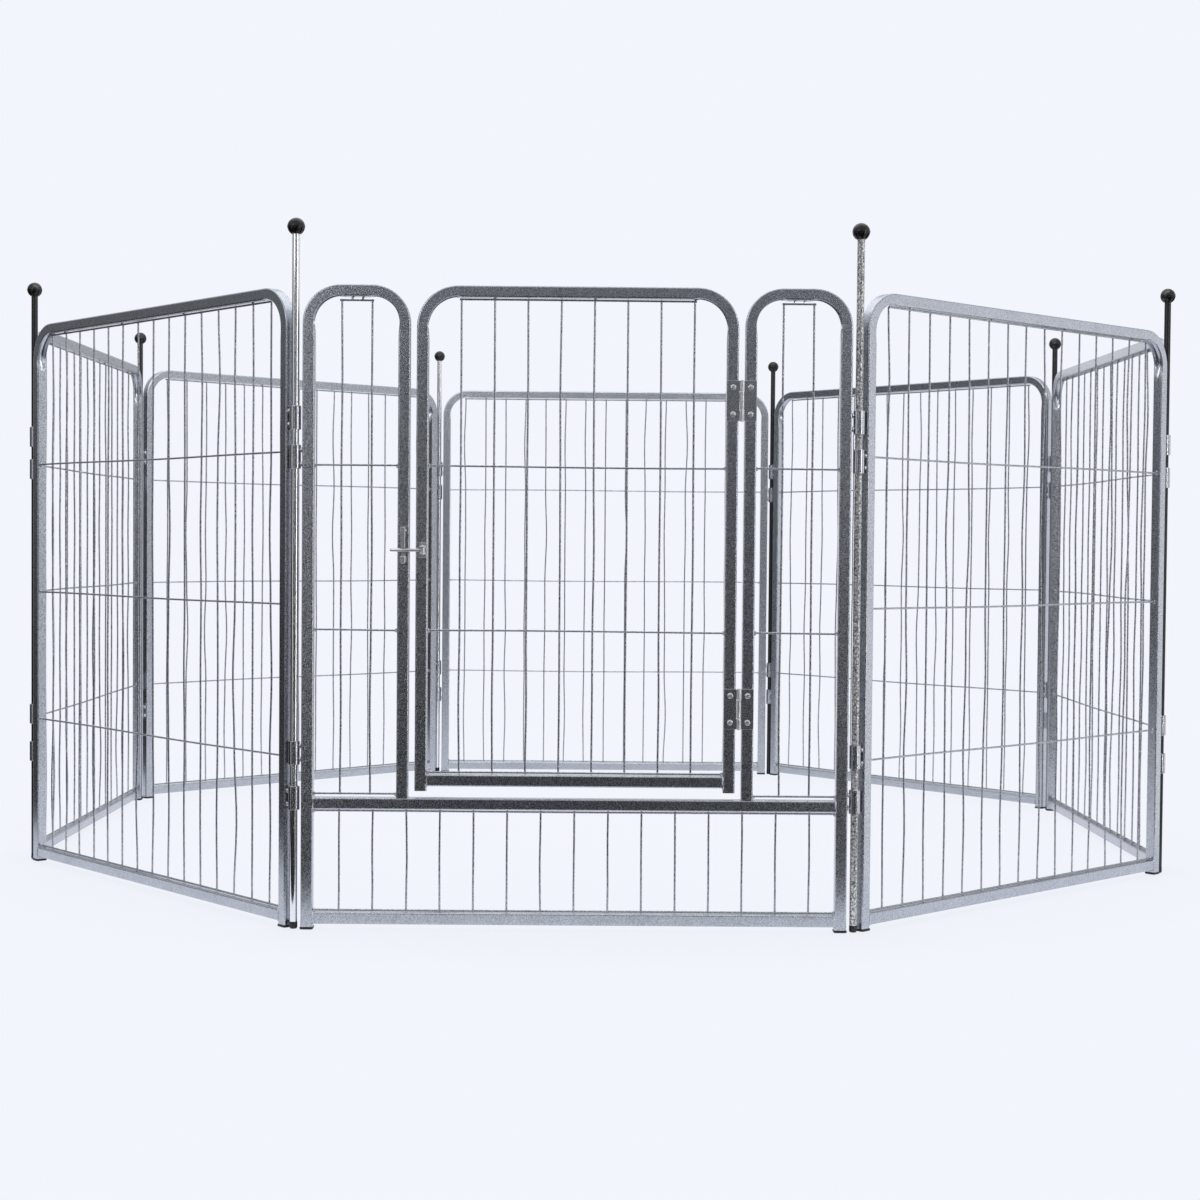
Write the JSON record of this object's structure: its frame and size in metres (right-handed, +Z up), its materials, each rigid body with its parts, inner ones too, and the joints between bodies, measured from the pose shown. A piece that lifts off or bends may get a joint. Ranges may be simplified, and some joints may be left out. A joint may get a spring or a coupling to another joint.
{
  "type": "pet playpen",
  "caption": "Metal pet playpen: a ring of bent square-tube panels with wire grilles, lift-out corner rods with ball knobs, and a hinged, latched gate panel.",
  "frame": {"origin": "on the floor at the middle of the ring", "axes": "+Z up, gate panel towards -Y, door hinges towards +X"},
  "size_m": [1.732, 1.737, 0.895],
  "materials": {
    "frame_paint": "hammered silver-grey paint, semi-gloss",
    "wire_paint": "silver-grey paint over round wire, semi-gloss",
    "rod_silver": "bright plated steel rod",
    "rod_black": "black paint over round steel rod, semi-gloss",
    "zinc_hardware": "zinc-plated steel",
    "knob_plastic": "moulded black plastic",
    "foot_plastic": "moulded black plastic, dull"
  },
  "bodies": {
    "gate": {"gate_frame": "frame_paint", "gate_grille_left": "wire_paint", "gate_grille_right": "wire_paint", "gate_grille_lower": "wire_paint", "gate_foot_left": "foot_plastic", "gate_foot_right": "foot_plastic", "hinge_lower_post_leaf": "zinc_hardware", "hinge_upper_post_leaf": "zinc_hardware", "latch_keeper": "zinc_hardware"},
    "door": {"door_frame": "frame_paint", "door_grille": "wire_paint", "hinge_lower_door_leaf": "zinc_hardware", "hinge_upper_door_leaf": "zinc_hardware", "latch_bracket": "zinc_hardware"},
    "latch": {"latch_arm": "zinc_hardware"},
    "panel_front_right": {"panel_front_right_frame": "frame_paint", "panel_front_right_grille": "wire_paint", "panel_front_right_foot_left": "foot_plastic", "panel_front_right_foot_right": "foot_plastic"},
    "panel_right": {"panel_right_frame": "frame_paint", "panel_right_grille": "wire_paint", "panel_right_foot_left": "foot_plastic", "panel_right_foot_right": "foot_plastic"},
    "panel_back_right": {"panel_back_right_frame": "frame_paint", "panel_back_right_grille": "wire_paint", "panel_back_right_foot_left": "foot_plastic", "panel_back_right_foot_right": "foot_plastic"},
    "panel_back": {"panel_back_frame": "frame_paint", "panel_back_grille": "wire_paint", "panel_back_foot_left": "foot_plastic", "panel_back_foot_right": "foot_plastic"},
    "panel_back_left": {"panel_back_left_frame": "frame_paint", "panel_back_left_grille": "wire_paint", "panel_back_left_foot_left": "foot_plastic", "panel_back_left_foot_right": "foot_plastic"},
    "panel_left": {"panel_left_frame": "frame_paint", "panel_left_grille": "wire_paint", "panel_left_foot_left": "foot_plastic", "panel_left_foot_right": "foot_plastic"},
    "panel_front_left": {"panel_front_left_frame": "frame_paint", "panel_front_left_grille": "wire_paint", "panel_front_left_foot_left": "foot_plastic", "panel_front_left_foot_right": "foot_plastic"},
    "rod_front_left": {"rod_front_left": "rod_silver", "knob_front_left": "knob_plastic"},
    "rod_front_right": {"rod_front_right": "rod_silver", "knob_front_right": "knob_plastic"},
    "rod_right_front": {"rod_right_front": "rod_black", "knob_right_front": "knob_plastic"},
    "rod_right_back": {"rod_right_back": "rod_black", "knob_right_back": "knob_plastic"},
    "rod_back_right": {"rod_back_right": "rod_black", "knob_back_right": "knob_plastic"},
    "rod_back_left": {"rod_back_left": "rod_silver", "knob_back_left": "knob_plastic"},
    "rod_left_back": {"rod_left_back": "rod_black", "knob_left_back": "knob_plastic"},
    "rod_left_front": {"rod_left_front": "rod_black", "knob_left_front": "knob_plastic"}
  },
  "joints": [
    {"name": "door_swing", "type": "hinge", "parent": "gate", "child": "door", "pos_m": [0.17976, -0.86445, 0.45], "axis": [0, 0, 1], "range_deg": [0, 160]},
    {"name": "latch_swing", "type": "hinge", "parent": "door", "child": "latch", "pos_m": [-0.21944, -0.86765, 0.48], "axis": [0, 0, 1], "range_deg": [0, 110]},
    {"name": "ring_fold", "type": "hinge", "parent": "gate", "child": "panel_front_left", "pos_m": [-0.38074, -0.85515, 0.4], "axis": [0, 0, 1], "range_deg": [-42, 48]},
    {"name": "fold_left_front", "type": "hinge", "parent": "panel_front_left", "child": "panel_left", "pos_m": [-0.85515, -0.32826, 0.4], "axis": [0, 0, 1], "range_deg": [-48, 42]},
    {"name": "fold_left_back", "type": "hinge", "parent": "panel_left", "child": "panel_back_left", "pos_m": [-0.85515, 0.38074, 0.4], "axis": [0, 0, 1], "range_deg": [-42, 48]},
    {"name": "fold_back_left", "type": "hinge", "parent": "panel_back_left", "child": "panel_back", "pos_m": [-0.32826, 0.85515, 0.4], "axis": [0, 0, 1], "range_deg": [-48, 42]},
    {"name": "fold_front_right", "type": "hinge", "parent": "gate", "child": "panel_front_right", "pos_m": [0.32826, -0.85515, 0.4], "axis": [0, 0, 1], "range_deg": [-42, 48]},
    {"name": "fold_right_front", "type": "hinge", "parent": "panel_front_right", "child": "panel_right", "pos_m": [0.85515, -0.38074, 0.4], "axis": [0, 0, 1], "range_deg": [-48, 42]},
    {"name": "fold_right_back", "type": "hinge", "parent": "panel_right", "child": "panel_back_right", "pos_m": [0.85515, 0.32826, 0.4], "axis": [0, 0, 1], "range_deg": [-42, 48]},
    {"name": "lift_rod_front_left", "type": "slide", "parent": "gate", "child": "rod_front_left", "axis": [0, 0, 1], "range_m": [0, 0.62]},
    {"name": "lift_rod_front_right", "type": "slide", "parent": "gate", "child": "rod_front_right", "axis": [0, 0, 1], "range_m": [0, 0.62]},
    {"name": "lift_rod_right_front", "type": "slide", "parent": "panel_front_right", "child": "rod_right_front", "axis": [0, 0, 1], "range_m": [0, 0.62]},
    {"name": "lift_rod_right_back", "type": "slide", "parent": "panel_right", "child": "rod_right_back", "axis": [0, 0, 1], "range_m": [0, 0.62]},
    {"name": "lift_rod_back_right", "type": "slide", "parent": "panel_back_right", "child": "rod_back_right", "axis": [0, 0, 1], "range_m": [0, 0.62]},
    {"name": "lift_rod_back_left", "type": "slide", "parent": "panel_back_left", "child": "rod_back_left", "axis": [0, 0, 1], "range_m": [0, 0.62]},
    {"name": "lift_rod_left_back", "type": "slide", "parent": "panel_left", "child": "rod_left_back", "axis": [0, 0, 1], "range_m": [0, 0.62]},
    {"name": "lift_rod_left_front", "type": "slide", "parent": "panel_front_left", "child": "rod_left_front", "axis": [0, 0, 1], "range_m": [0, 0.62]}
  ],
  "couplings": [
    {"joint": "fold_left_front", "follows": "ring_fold", "ratio": -1},
    {"joint": "fold_left_back", "follows": "ring_fold", "ratio": 1},
    {"joint": "fold_back_left", "follows": "ring_fold", "ratio": -1},
    {"joint": "fold_front_right", "follows": "ring_fold", "ratio": 1},
    {"joint": "fold_right_front", "follows": "ring_fold", "ratio": -1},
    {"joint": "fold_right_back", "follows": "ring_fold", "ratio": 1}
  ]
}
